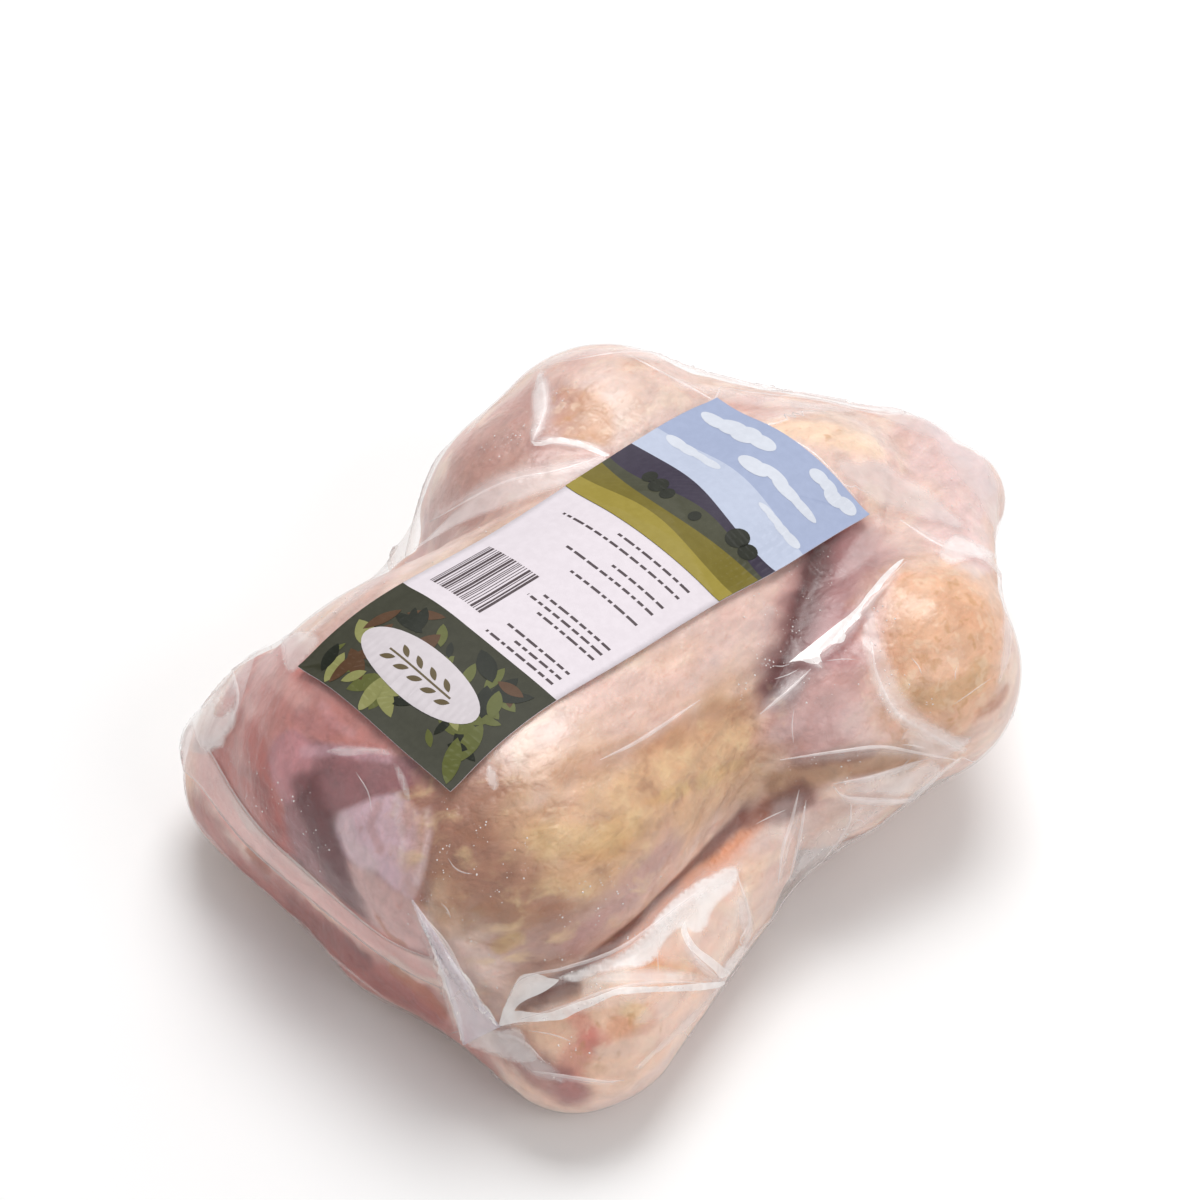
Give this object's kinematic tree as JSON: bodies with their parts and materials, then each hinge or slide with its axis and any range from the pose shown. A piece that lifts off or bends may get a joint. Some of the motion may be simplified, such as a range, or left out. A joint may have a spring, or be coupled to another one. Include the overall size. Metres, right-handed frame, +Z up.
{
  "type": "whole raw chicken",
  "caption": "Whole oven-ready raw chicken lying on its back in a close clear bag, with a printed paper label across the breast.",
  "frame": {"origin": "middle of the bag's box, on the surface that it lies on", "axes": "+X from the neck end to the legs, +Y towards the far side of the bird, +Z up"},
  "size_m": [0.2516, 0.1834, 0.0989],
  "materials": {
    "film": "clear close film over moist raw skin, glossy, with fine folds",
    "label_paper": "satin printed paper"
  },
  "bodies": {
    "root": {"bagged_chicken": "film", "label": "label_paper"}
  },
  "joints": []
}
